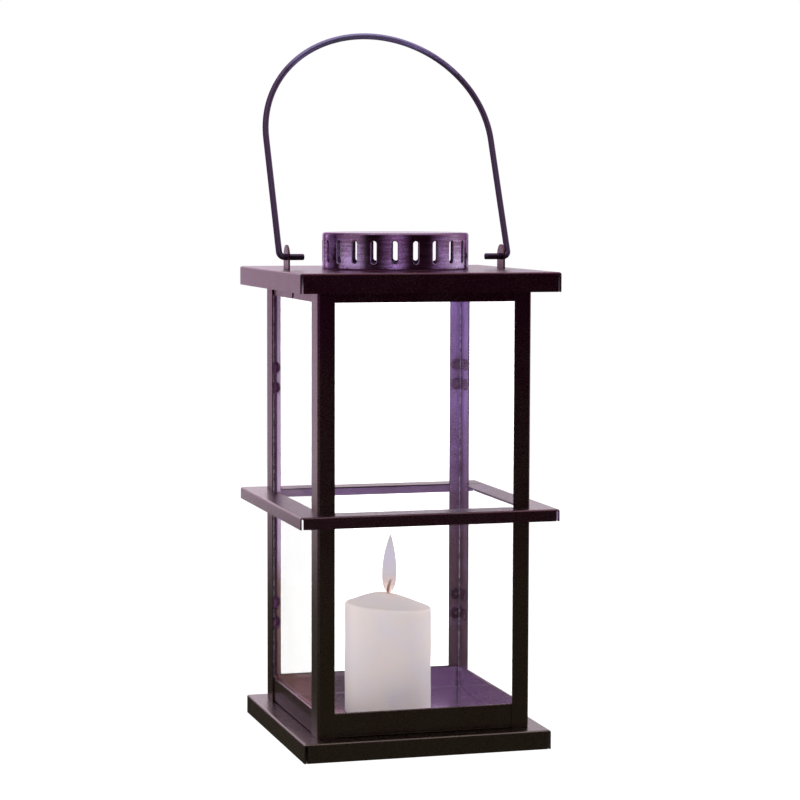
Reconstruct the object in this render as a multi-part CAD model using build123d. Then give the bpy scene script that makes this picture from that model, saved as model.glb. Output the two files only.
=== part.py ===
from build123d import *
import os
from math import radians, sin, cos

# Candle lantern, square, in folded and lacquered steel sheet.
#
# The cage is one assembly: an inverted base tray, an upturned candle pan on top of it, four angle
# posts welded round the pan's corners, a flanged ring round the posts at mid height and four glass
# panes that stand on the pan's floor and are bedded on the posts by small round pads.
# The lid is the second: a folded roof, a split spring band below it that plugs into the posts, a
# slotted vent cap over the vent hole and two ears for the bail.  It lifts off to reach the candle.
# The bail is one bent wire that swings in the ears.  The candle stands loose on the pan's floor.
#
# Millimetres.  Origin: centre of the base's underside.  +Z up, +X to the right, front towards -Y.

# ---------------------------------------------------------------- driving dimensions
# Sheet and folds
sheet = 0.8                  # thickness of all folded sheet
bend_radius = 1.3            # outside radius of every fold
seam_gap = 1.1               # open seam between two flanges at a corner

# Base tray
base_side = 143.0
base_height = 10.8

# Cage
cage_side = 123.0            # across the outer faces of the posts
post_height = 257.0          # from the base tray's top to the roof sheet's underside
front_leg = 9.8              # width of the post legs that lie in the front and back faces
side_leg = 14.0              # width of the post legs that lie in the left and right faces

# Candle pan
pan_height = 14.0
pan_corner_radius = 2.5
rim_hem = 3.6                # depth of the rim's folded-over hem

# Middle ring
ring_side = 149.0
ring_height = 6.8
ring_rise = 125.6            # from the base tray's top to the ring's top
notch_clearance = 0.4        # from the end of a post leg to the end of the ring's notch

# Roof and split band
roof_side = 149.0
roof_height = 11.0
band_drop = 5.6              # how far the band shows below the roof's flange
band_corner_radius = 3.0
band_gap = 4.0               # the split, in the middle of the left side
lift_clearance = 0.3         # between the band and the posts

# Vent cap
cap_diameter = 84.0
cap_height = 21.0
cap_edge_radius = 2.6
slot_count = 22
slot_width = 3.1
slot_length = 12.8
slot_rise = 3.8              # from the roof to the lower ends of the slots
collar_height = 2.6          # turned-up edge of the vent hole
collar_clearance = 0.1       # between the collar and the cap that is pressed over it

# Ears
ear_cage_gap = 2.0           # from the posts' outer faces to the ears, which stand just outside them
ear_width = 12.0
ear_thickness = 1.0
ear_height = 14.0            # above the roof
ear_foot_gap = 2.2           # from the ear's foot, bent out under the roof, to the roof's flange
ear_hole_rise = 7.0          # from the roof to the bail's axis
ear_slot_side_gap = 0.2      # between the ear and the long sides of its slot in the roof
ear_slot_end_gap = 1.0       # between the ear and the ends of its slot

# Bail
wire_diameter = 3.6
bail_leg_offset = 3.7        # from an ear's outer face to the middle of the leg beside it
bail_leg = 75.5              # from the pivot axis to where the arch springs
bail_tail = 9.5              # how far the wire's ends stand inside the ears
bail_end_chamfer = 0.4
bail_clearance = 0.1         # running clearance of the wire in the ear's hole, on the radius
bail_ear_gap = 0.5           # from the ear's outer face to the start of the wire's bend
bail_lean = 26.0             # degrees; the bail rests leaning back

# Glazing
glass_thickness = 2.0
glass_clearance = 0.3        # from the panes to the pan's rim and from each pane to its neighbours
glass_headroom = 5.5         # from the panes' top edges to the roof sheet
pad_diameter = 6.4
front_pad_inset = 5.9        # from the cage's corner to a pad on a front or back leg
side_pad_inset = 10.4        # from the cage's corner to a pad on a left or right leg
pad_reach = 70.0             # from the ring's middle up or down to the middle of a pair of pads
pad_pitch = 11.8             # between the two pads of a pair

# Candle
candle_diameter = 50.0
candle_height = 70.6
candle_dome = 8.0            # rise of the burnt-in crown above the shoulder
candle_shoulder_radius = 2.2
candle_foot_radius = 1.0
candle_x = -4.0              # set down by hand, a little left of the middle
wick_diameter = 1.7
wick_length = 7.0            # above the candle's crown
wick_bend = 18.0             # degrees that the wick's free end leans to the right
wick_clearance = 0.05

# ---------------------------------------------------------------- places worked out from them
floor_z = base_height                          # top of the base tray, where pan and posts stand
pan_floor_z = floor_z + sheet                  # where the panes and the candle stand
roof_under_z = floor_z + post_height           # the posts' top ends, where the roof sits
roof_top_z = roof_under_z + sheet
roof_low_z = roof_top_z - roof_height          # lower edge of the roof's flange
ring_low_z = floor_z + ring_rise - ring_height
pivot_z = roof_top_z + ear_hole_rise

cage_half = cage_side / 2
lining_half = cage_half - sheet                # inner faces of the posts, outer faces of the pan
rim_half = lining_half - 2 * sheet             # inner face of the pan's hemmed rim
glass_half = rim_half - glass_clearance        # outer faces of the panes
cap_radius = cap_diameter / 2
collar_radius = cap_radius - sheet - collar_clearance
ear_inner_x = cage_half + ear_cage_gap
ear_outer_x = ear_inner_x + ear_thickness

STANDING = (Align.CENTER, Align.CENTER, Align.MIN)
CORNERS = [(-1, -1), (1, -1), (-1, 1), (1, 1)]


# ---------------------------------------------------------------- helpers
def rounded_box(width, depth, height, corner_radius):
    """Upright box on the XY plane with rounded vertical edges."""
    outline = RectangleRounded(width, depth, corner_radius)
    return extrude(outline, amount=height)


def folded_lid(side, height):
    """Flat square sheet with its four edges folded down and an open seam beside each corner.

    The left and right flanges run the full side; the front and back ones stop short of them.
    """
    shell = Box(side, side, height, align=STANDING)
    shell = fillet(shell.faces().sort_by(Axis.Z)[-1].edges(), bend_radius)
    inside = side - 2 * sheet
    hollow = Box(inside, inside, height - sheet, align=STANDING)
    hollow = fillet(hollow.faces().sort_by(Axis.Z)[-1].edges(), bend_radius - sheet)
    lid = shell - hollow
    seam_x = inside / 2 - seam_gap / 2
    for sx, sy in CORNERS:
        seam = Box(seam_gap, 2 * sheet, height - sheet, align=STANDING)
        lid -= Pos(sx * seam_x, sy * side / 2, 0) * seam
    return lid


def to_corner(piece, sx, sy):
    """Carry a piece drawn for the front left corner into the corner with the given signs."""
    if sx > 0 and sy > 0:
        return Rot(0, 0, 180) * piece
    if sx > 0:
        return mirror(piece, about=Plane.YZ)
    if sy > 0:
        return mirror(piece, about=Plane.XZ)
    return piece


# ---------------------------------------------------------------- cage
def make_base_tray():
    return folded_lid(base_side, base_height)


def make_candle_pan():
    """Upturned tray whose rim is folded over inwards into a hem."""
    side = 2 * lining_half
    pan = rounded_box(side, side, pan_height, pan_corner_radius)
    pan = fillet(pan.faces().sort_by(Axis.Z)[0].edges(), bend_radius)
    wall_inside = side - 2 * sheet
    hem_inside = 2 * rim_half
    hollow = rounded_box(wall_inside, wall_inside, pan_height - sheet - rim_hem,
                         pan_corner_radius - sheet)
    mouth = rounded_box(hem_inside, hem_inside, pan_height - sheet, pan_corner_radius - 2 * sheet)
    pan -= Pos(0, 0, sheet) * (hollow + mouth)
    rim_edges = pan.faces().sort_by(Axis.Z)[-1].edges()
    pan = fillet(rim_edges, 0.9 * sheet)
    return Pos(0, 0, floor_z) * pan


def make_corner_post():
    """Angle post at the front left corner, its two legs folded from one strip."""
    corner = (-cage_half, -cage_half, floor_z)
    from_corner = (Align.MIN, Align.MIN, Align.MIN)
    post = Pos(*corner) * Box(front_leg, side_leg, post_height, align=from_corner)
    hollow = Pos(*corner) * Pos(sheet, sheet, 0) * Box(front_leg, side_leg, post_height,
                                                       align=from_corner)
    post -= hollow
    uprights = post.edges().filter_by(Axis.Z)
    outer = uprights.sort_by_distance(corner)[0]
    post = fillet(outer, bend_radius)
    inner_corner = (corner[0] + sheet, corner[1] + sheet, floor_z)
    inner = post.edges().filter_by(Axis.Z).sort_by_distance(inner_corner)[0]
    return fillet(inner, bend_radius - sheet)


def make_middle_ring():
    """Folded lid with a square window, notched at the corners where the posts pass."""
    ring = folded_lid(ring_side, ring_height)
    ring -= Box(2 * rim_half, 2 * rim_half, 2 * ring_height)
    notch_x = front_leg + notch_clearance
    notch_y = side_leg + notch_clearance
    for sx, sy in CORNERS:
        notch = Box(notch_x, notch_y, 2 * ring_height)
        ring -= Pos(sx * (cage_half - notch_x / 2), sy * (cage_half - notch_y / 2), 0) * notch
    return Pos(0, 0, ring_low_z) * ring


def make_pane(width):
    """Pane in the front opening, standing on the pan's floor."""
    height = post_height - sheet - glass_headroom
    pane = Box(width, glass_thickness, height, align=STANDING)
    return Pos(0, -glass_half + glass_thickness / 2, pan_floor_z) * pane


def make_glass_pads():
    """Round pads between the post legs and the panes, a pair above and a pair below the ring."""
    thickness = lining_half - glass_half
    disc = Cylinder(pad_diameter / 2, thickness)
    middle = lining_half - thickness / 2
    ring_middle_z = ring_low_z + ring_height / 2
    pad_heights = [ring_middle_z + side * pad_reach + step * pad_pitch / 2
                   for side in (-1, 1) for step in (-1, 1)]
    pads = []
    for sx, sy in CORNERS:
        for z in pad_heights:
            on_front = Pos(sx * (cage_half - front_pad_inset), sy * middle, z) * Rot(90, 0, 0)
            on_side = Pos(sx * middle, sy * (cage_half - side_pad_inset), z) * Rot(0, 90, 0)
            pads += [on_front * disc, on_side * disc]
    return Compound(children=pads)


# ---------------------------------------------------------------- lid
def make_roof():
    """Folded lid with a vent hole, its turned-up collar and the two slots for the ears."""
    roof = Pos(0, 0, roof_low_z) * folded_lid(roof_side, roof_height)
    collar = Pos(0, 0, roof_under_z) * Cylinder(collar_radius, sheet + collar_height,
                                                align=STANDING)
    hole = Pos(0, 0, roof_under_z) * Cylinder(collar_radius - sheet, sheet + collar_height,
                                              align=STANDING)
    roof = roof + collar - hole
    mouth = roof.edges().filter_by(GeomType.CIRCLE).filter_by(
        lambda edge: abs(edge.center().Z - roof_under_z) < 0.01)
    roof = fillet(mouth, bend_radius - sheet / 2)
    slot = Box(ear_thickness + 2 * ear_slot_side_gap, ear_width + 2 * ear_slot_end_gap, 4 * sheet)
    for sx in (-1, 1):
        roof -= Pos(sx * (ear_inner_x + ear_thickness / 2), 0, roof_top_z) * slot
    return roof


def make_split_band():
    """Square spring band under the roof, open in the middle of its left side."""
    outer = 2 * (lining_half - lift_clearance)
    height = roof_height - sheet + band_drop
    band = rounded_box(outer, outer, height, band_corner_radius)
    band -= rounded_box(outer - 2 * sheet, outer - 2 * sheet, height, band_corner_radius - sheet)
    band -= Pos(-outer / 2, 0, height / 2) * Box(4 * sheet, band_gap, height)
    return Pos(0, 0, roof_under_z - height) * band


def make_vent_cap():
    """Drawn cup, mouth down, with a rounded edge and a ring of upright slots in its wall."""
    r, t, h, edge = cap_radius, sheet, cap_height, cap_edge_radius
    section = make_face([
        Line((r - t, 0), (r, 0)),
        Line((r, 0), (r, h - edge)),
        CenterArc((r - edge, h - edge), edge, 0, 90),
        Line((r - edge, h), (0, h)),
        Line((0, h), (0, h - t)),
        Line((0, h - t), (r - edge, h - t)),
        CenterArc((r - edge, h - edge), edge - t, 0, 90),
        Line((r - t, h - edge), (r - t, 0)),
    ])
    cap = revolve(Plane.XZ * section, Axis.Z)
    cutter = extrude(Plane.XZ * SlotOverall(slot_length, slot_width, rotation=90), amount=2 * r)
    middle_z = slot_rise + slot_length / 2
    for turn in range(slot_count):
        cap -= Rot(0, 0, turn * 360 / slot_count) * Pos(0, 0, middle_z) * cutter
    return Pos(0, 0, roof_top_z) * cap


def make_ear():
    """Right ear: an upright plate with a round head, its foot bent out under the roof."""
    head_radius = ear_width / 2
    stem = ear_height - head_radius + sheet + ear_thickness
    foot_length = roof_side / 2 - sheet - ear_foot_gap - ear_inner_x
    from_inner_face = (Align.MIN, Align.CENTER, Align.MIN)
    plate = Box(ear_thickness, ear_width, stem, align=from_inner_face)
    head = Pos(ear_thickness / 2, 0, stem) * Rot(0, 90, 0) * Cylinder(head_radius, ear_thickness)
    foot = Box(foot_length, ear_width, ear_thickness, align=from_inner_face)
    ear = plate + head + foot
    heel = ear.edges().filter_by(Axis.Y).sort_by_distance((0, 0, 0))[0]
    ear = fillet(heel, 0.9 * ear_thickness)
    hole = Rot(0, 90, 0) * Cylinder(wire_diameter / 2 + bail_clearance, 4 * ear_thickness)
    ear = Pos(ear_inner_x, 0, roof_under_z - ear_thickness) * ear
    return ear - Pos(ear_inner_x, 0, pivot_z) * hole


# ---------------------------------------------------------------- bail
def make_bail():
    """One wire: an end through each ear, a tight bend, a straight leg and a half-round arch."""
    leg_x = ear_outer_x + bail_leg_offset
    tail_x = ear_inner_x - bail_tail
    bend_x = ear_outer_x + bail_ear_gap
    bend = leg_x - bend_x
    route = Wire([
        Line((-tail_x, 0), (-bend_x, 0)),
        CenterArc((-bend_x, bend), bend, 180, 90),
        Line((-leg_x, bend), (-leg_x, bail_leg)),
        CenterArc((0, bail_leg), leg_x, 0, 180),
        Line((leg_x, bail_leg), (leg_x, bend)),
        CenterArc((bend_x, bend), bend, 270, 90),
        Line((bend_x, 0), (tail_x, 0)),
    ])
    section = Plane(origin=(-tail_x, 0, 0), z_dir=(-1, 0, 0)) * Circle(wire_diameter / 2)
    wire = sweep(section, path=route)
    ends = wire.edges().filter_by(GeomType.CIRCLE).filter_by(
        lambda edge: abs(abs(edge.center().X) - tail_x) < 0.01 and abs(edge.center().Y) < 0.01)
    wire = chamfer(ends, bail_end_chamfer)
    return Pos(0, 0, pivot_z) * Rot(90 - bail_lean, 0, 0) * wire


# ---------------------------------------------------------------- candle
def make_candle():
    """Pillar candle with a burnt-in crown, bored for its wick."""
    r = candle_diameter / 2
    shoulder = candle_height - candle_dome
    crown_radius = (r * r + candle_dome * candle_dome) / (2 * candle_dome)
    section = make_face([
        Line((0, 0), (r, 0)),
        Line((r, 0), (r, shoulder)),
        RadiusArc((r, shoulder), (0, candle_height), -crown_radius),
        Line((0, candle_height), (0, 0)),
    ])
    at_shoulder = section.vertices().sort_by_distance((r, shoulder))[0]
    section = fillet(at_shoulder, candle_shoulder_radius)
    at_foot = section.vertices().sort_by_distance((r, 0))[0]
    section = fillet(at_foot, candle_foot_radius)
    candle = revolve(Plane.XZ * section, Axis.Z)
    bore = Cylinder(wick_diameter / 2 + wick_clearance, candle_height, align=STANDING)
    return Pos(candle_x, 0, pan_floor_z) * (candle - bore)


def make_wick():
    """Cotton wick through the whole candle, its free end leaning to the right."""
    lean = radians(wick_bend)
    bend = wick_length / (2 * sin(lean))
    free_end = wick_length / 2
    route = Wire([
        Line((0, 0), (0, candle_height)),
        CenterArc((bend, candle_height), bend, 180 - wick_bend, wick_bend),
        Line((bend - bend * cos(lean), candle_height + free_end),
             (bend - bend * cos(lean) + free_end * sin(lean),
              candle_height + free_end + free_end * cos(lean))),
    ])
    wick = sweep(Circle(wick_diameter / 2), path=Plane.XZ * route)
    return Pos(candle_x, 0, pan_floor_z) * wick


# ---------------------------------------------------------------- the lantern, node by node
def make_lantern():
    post = make_corner_post()
    front_pane = make_pane(2 * (glass_half - glass_clearance))
    left_pane = Rot(0, 0, -90) * make_pane(2 * (glass_half - glass_thickness - glass_clearance))
    right_ear = make_ear()
    return {
        "base_tray": make_base_tray(),
        "candle_pan": make_candle_pan(),
        "front_left_post": to_corner(post, -1, -1),
        "front_right_post": to_corner(post, 1, -1),
        "back_left_post": to_corner(post, -1, 1),
        "back_right_post": to_corner(post, 1, 1),
        "middle_ring": make_middle_ring(),
        "front_glass": front_pane,
        "back_glass": mirror(front_pane, about=Plane.XZ),
        "left_glass": left_pane,
        "right_glass": mirror(left_pane, about=Plane.YZ),
        "glass_pads": make_glass_pads(),
        "roof": make_roof(),
        "split_band": make_split_band(),
        "vent_cap": make_vent_cap(),
        "left_ear": mirror(right_ear, about=Plane.YZ),
        "right_ear": right_ear,
        "bail_handle": make_bail(),
        "candle": make_candle(),
        "candle_wick": make_wick(),
    }


os.makedirs("parts", exist_ok=True)
for node, solid in make_lantern().items():
    export_step(solid, f"parts/{node}.step")
    print(f"{node:18s} {solid.volume:12.1f} mm3")
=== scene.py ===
# %% [markdown]
# # A lacquered steel candle lantern
# This notebook dresses a candle lantern for rendering.  The lantern is folded from thin steel
# sheet, glazed with four panes and closed by a roof that lifts off with its vent cap and wire bail.
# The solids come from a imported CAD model, the frame, which is loaded first and never changed.
# Each later step either gives a CAD piece a finish or replaces it by a finer surface of its own.
# Units are metres.  +Z is up, +X is to the right and the front looks towards -Y.

# %% Load the frame
from math import cos, pi, radians, sin

import bmesh
import bpy
import numpy as np
from mathutils import Matrix, Vector


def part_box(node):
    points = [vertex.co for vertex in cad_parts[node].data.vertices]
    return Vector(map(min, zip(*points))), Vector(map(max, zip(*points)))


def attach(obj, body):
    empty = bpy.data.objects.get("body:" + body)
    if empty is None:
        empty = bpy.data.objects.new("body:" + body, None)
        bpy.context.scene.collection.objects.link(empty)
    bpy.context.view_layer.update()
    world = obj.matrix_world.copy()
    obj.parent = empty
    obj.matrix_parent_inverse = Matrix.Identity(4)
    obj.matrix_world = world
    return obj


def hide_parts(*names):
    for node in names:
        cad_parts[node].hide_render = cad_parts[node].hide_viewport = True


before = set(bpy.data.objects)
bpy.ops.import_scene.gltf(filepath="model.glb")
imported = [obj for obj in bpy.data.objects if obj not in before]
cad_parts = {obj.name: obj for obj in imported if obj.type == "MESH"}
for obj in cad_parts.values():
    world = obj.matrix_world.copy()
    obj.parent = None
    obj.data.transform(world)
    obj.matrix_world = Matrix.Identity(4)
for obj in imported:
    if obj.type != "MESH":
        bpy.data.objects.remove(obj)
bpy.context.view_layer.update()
MM = 0.001

# %% [markdown]
# ## Helpers for shaders
# Colours are written as sRGB hex codes, as a paint chart gives them, but a shader works in linear
# light, so one function converts them.  Another adds a node to a shader tree, sets its properties
# and feeds its sockets.  The others name the few kinds of node that nearly every finish is made of.

# %% Helpers for colours and nodes
NOISE_SPAN = (0.3, 0.7)  # a noise texture's values nearly all lie between these


def paint(code):
    """Linear light of a hex colour: c / 12.92 near black, else ((c + 0.055) / 1.055) to the 2.4."""
    c = np.array([int(code[i:i + 2], 16) for i in (1, 3, 5)]) / 255
    linear = np.where(c <= 0.04045, c / 12.92, ((c + 0.055) / 1.055) ** 2.4)
    return (*linear.tolist(), 1.0)


def add(tree, kind, feeds=None, stops=None, **settings):
    """Add one node.  feeds: socket name or number -> value or the socket that drives it.
    stops: (place, colour) pairs for a colour ramp.  settings: the node's own properties."""
    node = tree.nodes.new(kind)
    for name, value in settings.items():
        setattr(node, name, value)
    if stops:
        marks = node.color_ramp.elements
        marks.remove(marks[1])
        marks[0].position, marks[0].color = stops[0]
        for place, colour in stops[1:]:
            marks.new(place).color = colour
    for name, value in (feeds or {}).items():
        socket = node.inputs[name]
        if isinstance(value, bpy.types.NodeSocket):
            tree.links.new(value, socket)
        else:
            socket.default_value = value
    return node


def new_finish(name):
    """A material with an empty tree, and the place on the piece, which nearly all patterns need."""
    material = bpy.data.materials.new(name)
    material.use_nodes = True
    tree = material.node_tree
    tree.nodes.clear()
    place = add(tree, "ShaderNodeTexCoord").outputs["Object"]
    return material, tree, place


def show(tree, shader):
    """Make a shader the material's surface."""
    add(tree, "ShaderNodeOutputMaterial", {"Surface": shader.outputs[0]})


def mix_shaders(tree, share, first, second):
    """The first shader where share is 0 and the second where it is 1."""
    return add(tree, "ShaderNodeMixShader",
               {0: share, 1: first.outputs[0], 2: second.outputs[0]})


def noise(tree, place, patch, **feeds):
    """Cloudy noise from 0 to 1 in patches of about the given size; feeds: its other sockets."""
    return add(tree, "ShaderNodeTexNoise",
               {"Vector": place, "Scale": 1 / patch, **feeds}).outputs["Fac"]


def remap(tree, value, low=0.0, high=1.0, to=(0.0, 1.0)):
    """Carry the range low..high over to another one in a straight line, held at both ends."""
    return add(tree, "ShaderNodeMapRange",
               {"Value": value, "From Min": low, "From Max": high,
                "To Min": to[0], "To Max": to[1]}).outputs["Result"]


def ramp(tree, value, stops):
    """Colour along a ramp of (place, colour) stops."""
    return add(tree, "ShaderNodeValToRGB", {"Fac": value}, stops=stops).outputs["Color"]


def blend(tree, share, first, second):
    """The first colour where share is 0 and the second where it is 1."""
    return add(tree, "ShaderNodeMix", {0: share, 6: first, 7: second},
               data_type="RGBA").outputs[2]


def calculate(tree, operation, first, second, **settings):
    """One operation on two numbers, such as ADD or MAXIMUM."""
    return add(tree, "ShaderNodeMath", {0: first, 1: second}, operation=operation,
               **settings).outputs[0]


def has_bounced(tree, ray, kind):
    """1 for a ray that has had a bounce of a kind, Glossy or Diffuse, and 0 for any other."""
    return calculate(tree, "GREATER_THAN", ray[kind + " Depth"], 0.5)


def attribute(tree, name):
    """A number that the mesh carries on its points or faces."""
    return add(tree, "ShaderNodeAttribute", attribute_name=name).outputs["Fac"]


def axes(tree, vector):
    """The X, Y and Z of a vector."""
    return add(tree, "ShaderNodeSeparateXYZ", {"Vector": vector}).outputs


def bump(tree, height, strength, depth, **under):
    """A normal tilted by a height pattern; under: Normal=another bump that this one lies on."""
    return add(tree, "ShaderNodeBump", {"Height": height, "Strength": strength,
                                        "Distance": depth, **under}).outputs["Normal"]


print("shader helpers ready")

# %% [markdown]
# ## Helpers for shapes
# Every later shape is worked out with numpy as a grid of points, most often rings round an axis,
# and is handed over as points and quads in one go.

# %% Helpers for grids and meshes
WELD = 0.002 * MM  # points closer together than this are one point


def full_turn(count):
    """Angles of points spread evenly round a circle."""
    return np.linspace(0, 2 * pi, count, endpoint=False)


def around(radius, angle, level):
    """Points round the axis: x = r cos a, y = r sin a, z = level, spread over each other."""
    radius, angle, level = np.broadcast_arrays(radius, angle, level)
    return np.stack([radius * np.cos(angle), radius * np.sin(angle), level], -1)


def grid_faces(rows, columns, closed=False):
    """Quads of a grid of points in row order; closed joins the last column to the first."""
    r, c = np.meshgrid(np.arange(rows - 1), np.arange(columns if closed else columns - 1),
                       indexing="ij")
    after = (c + 1) % columns
    quads = np.stack([r * columns + c, r * columns + after,
                      (r + 1) * columns + after, (r + 1) * columns + c], -1)
    return quads.reshape(-1, 4)


def gather(parts):
    """Several (points, faces) parts as one: each part's faces count on from the points before."""
    starts = np.cumsum([0] + [len(points) for points, _ in parts])
    return (np.concatenate([points for points, _ in parts]),
            np.concatenate([faces + start for (_, faces), start in zip(parts, starts)]))


def closed_ends(rings, first, last):
    """Rings of a tube with one more at each end that is drawn together in a point."""
    start, end = (np.broadcast_to(point, (1, *rings.shape[1:])) for point in (first, last))
    return np.concatenate([start, rings, end])


def mesh_piece(name, points, faces, material):
    """A smooth object at the origin from points, in an array of any shape, and quads."""
    mesh = bpy.data.meshes.new(name)
    mesh.from_pydata(points.reshape(-1, 3).tolist(), [], faces.tolist())
    mesh.validate()
    mesh.polygons.foreach_set("use_smooth", np.ones(len(mesh.polygons), bool))
    mesh.materials.append(material)
    piece = bpy.data.objects.new(name, mesh)
    bpy.context.scene.collection.objects.link(piece)
    return piece


def tag(mesh, name, domain, values):
    """Give each point or face a number that a finish can read by its name."""
    mesh.attributes.new(name, "FLOAT", domain).data.foreach_set("value", values)


def join_up(piece):
    """Merge points that coincide, so that rings and poles close, and turn all faces outwards."""
    work = bmesh.new()
    work.from_mesh(piece.data)
    bmesh.ops.remove_doubles(work, verts=work.verts, dist=WELD)
    bmesh.ops.recalc_face_normals(work, faces=work.faces)
    work.to_mesh(piece.data)
    work.free()


print("shape helpers ready")

# %% [markdown]
# ## The finish of the sheet: baked lacquer
# The sheet is mild steel, sprayed with a dark plum-brown lacquer and baked.  Such a coat holds fine
# metal flake, so it is partly metallic, and a clear resin lies over the flake.  Seen head-on it is
# nearly black, and it turns mauve and then pale towards grazing angles, as Fresnel reflection does.
# The rim tint sets the colour that it turns to there.  Patterns carry the making: the spray's
# grain, about 0.8 mm, a mottle of thicker and thinner coat, about 18 mm, and the slight waves,
# about 45 mm, that folding leaves in thin sheet.  The colour also shifts with height: outside it is
# redder high up and more olive below, and on inner sides, the cap and the wire the shift is painted
# light and shade: inner sides lighter high up, the cap darker under its crown and the wire lighter
# along the top of its arch.  On the drawn cap the tool leaves level streaks.
# Inner sides are less metallic, and their purple colours, pale on posts, ring and pan, are painted
# light: they paint in the light and reflections that those sides catch.  So each face carries a
# number, 1 for an inner side and 0 for an outer one, that the finish reads.
# Posts, ring, pan, cap and wire each have a finish of their own.
# The pan is the glossiest inside, and the warm brown on its left is a painted warm reflection.

# %% Baked lacquer
GRAIN, MOTTLE, STREAK, WAVE = 0.8 * MM, 18 * MM, 16 * MM, 45 * MM
STREAK_SQUASH = 14  # how many times longer than high the level streaks are
LIP_HIGHLIGHT_FADE = (98 * MM, 80 * MM)  # the painted lip highlight is pale above the first height and brownish below the second
LIP_EDGE = (54.3 * MM, 53.8 * MM)  # where it sets in, measured from the lantern's middle planes
GRAIN_IN_COAT = (-0.25, 0.45)   # what the spray's grain adds to the thickness of the coat
GRAIN_IN_GLOSS = (-0.10, 0.12)  # and to the roughness
PEBBLED = (0.5, 0.15)           # how strongly the grain shows as relief, outside and inside
PEBBLE_DEPTH = 0.03 * MM


def baked_lacquer(name, outer, inner, roughness=(0.32, 0.32), wave_height=0.18 * MM,
                  flake=(1.0, 0.2), tone_and_shade_by_height=((175, -0.5), (95, 0.5)), streaks=0.0,
                  coat=(0.25, 0.25), rim_tint="#efe7f0", painted_lip_highlight=None, painted_warm_reflection=None):
    """Lacquer on steel.  outer, inner: colours of the thin and the thick coat on each side; the
    inner ones are painted light, a lit and a shaded tone.

    roughness and flake, how metallic it is: outside and inside.  wave_height: depth of the waves.
    drained: two heights in mm with the share that each adds to the coat, which shifts the tone with
    height and paints light and shade.  streaks: how much lines that run level round the axis add to
    it.  coat: weight and roughness of the clear resin.
    rim_tint: colour at grazing angles.
    painted_lip_highlight: colours of a painted highlight on a post's inner sides near their free
    edges, high up and low down.
    scorched: (x in mm, colour) pairs from left to right, for the thick coat of inner sides: a
    painted warm reflection."""
    material, tree, place = new_finish(name)
    inside = attribute(tree, "inner_side")
    grain = noise(tree, place, GRAIN, Detail=2.0, Roughness=0.6)
    mottle = noise(tree, place, MOTTLE, Detail=3.0)
    level = axes(tree, place)["Z"]
    # The height shift: painted light and shade on inner sides, cap and wire, and a shift of tone
    # outside.
    (high, high_share), (low, low_share) = tone_and_shade_by_height
    height_tone_and_shade = remap(tree, level, high * MM, low * MM, (high_share, low_share))
    squashed = add(tree, "ShaderNodeMapping",
                   {"Vector": place, "Scale": (1, 1, STREAK_SQUASH)}).outputs[0]
    level_lines = noise(tree, squashed, STREAK, Detail=4.0)
    level_lines = remap(tree, level_lines, *NOISE_SPAN, (-streaks, streaks))
    spray = remap(tree, grain, *NOISE_SPAN, GRAIN_IN_COAT)
    # Spray, mottle and streaks are the coat's own; the height shift adds painted light and shade.
    coat_and_height_shade = calculate(tree, "ADD", spray, mottle)
    coat_and_height_shade = calculate(tree, "ADD", coat_and_height_shade, level_lines)
    coat_and_height_shade = calculate(tree, "ADD", coat_and_height_shade, height_tone_and_shade, use_clamp=True)
    outer_colour = blend(tree, coat_and_height_shade, *map(paint, outer))
    # Inner colours are painted light: a lit tone and a shaded one.
    inner_lit, inner_shaded = map(paint, inner)
    # A painted warm reflection: the thick inner colour runs from warm pink-brown on the left,
    # through grey, to purple on the right.
    if painted_warm_reflection:
        first, last = painted_warm_reflection[0][0], painted_warm_reflection[-1][0]
        across = remap(tree, axes(tree, place)["X"], first * MM, last * MM)
        inner_shaded = ramp(tree, across, [((x - first) / (last - first), paint(code))
                                          for x, code in painted_warm_reflection])
    inner_colour = blend(tree, coat_and_height_shade, inner_lit, inner_shaded)
    # A painted highlight: a pale stripe along a post's inner free edges, brownish low down.
    if painted_lip_highlight:
        lip_highlight_colour = blend(tree, remap(tree, level, *LIP_HIGHLIGHT_FADE), *map(paint, painted_lip_highlight))
        sides = add(tree, "ShaderNodeVectorMath", {0: place}, operation="ABSOLUTE").outputs[0]
        sides = axes(tree, sides)
        depth = calculate(tree, "MINIMUM", sides["X"], sides["Y"])
        inner_colour = blend(tree, remap(tree, depth, *LIP_EDGE), inner_colour, lip_highlight_colour)
    colour = blend(tree, inside, outer_colour, inner_colour)
    metal = remap(tree, inside, to=flake)
    smooth = remap(tree, inside, to=roughness)
    peel = remap(tree, grain, *NOISE_SPAN, GRAIN_IN_GLOSS)
    gloss = calculate(tree, "ADD", smooth, peel)
    waves = noise(tree, place, WAVE, Detail=1.0)
    bent = bump(tree, waves, 1.0, wave_height)
    rough = bump(tree, grain, remap(tree, inside, to=PEBBLED), PEBBLE_DEPTH, Normal=bent)
    show(tree, add(tree, "ShaderNodeBsdfPrincipled",
                   {"Base Color": colour, "Metallic": metal, "Roughness": gloss,
                    "Normal": rough, "Specular Tint": paint(rim_tint),
                    "Coat Weight": coat[0], "Coat Roughness": coat[1]}))
    return material


sheet_lacquer = baked_lacquer("baked_plum_lacquer", ("#562639", "#6b6456"), ("#4a3850", "#3a2c3a"))
# Posts: the pale purple inner colours are painted light, lighter high up and darker below.
post_lacquer = baked_lacquer(
    "baked_plum_lacquer_painted_light_inside", ("#562a3e", "#68614f"), ("#c8a0f2", "#6a4c5e"),
    flake=(1.0, 0.12), rim_tint="#f6f2f6", tone_and_shade_by_height=((250, -0.6), (95, 0.5)))
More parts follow.
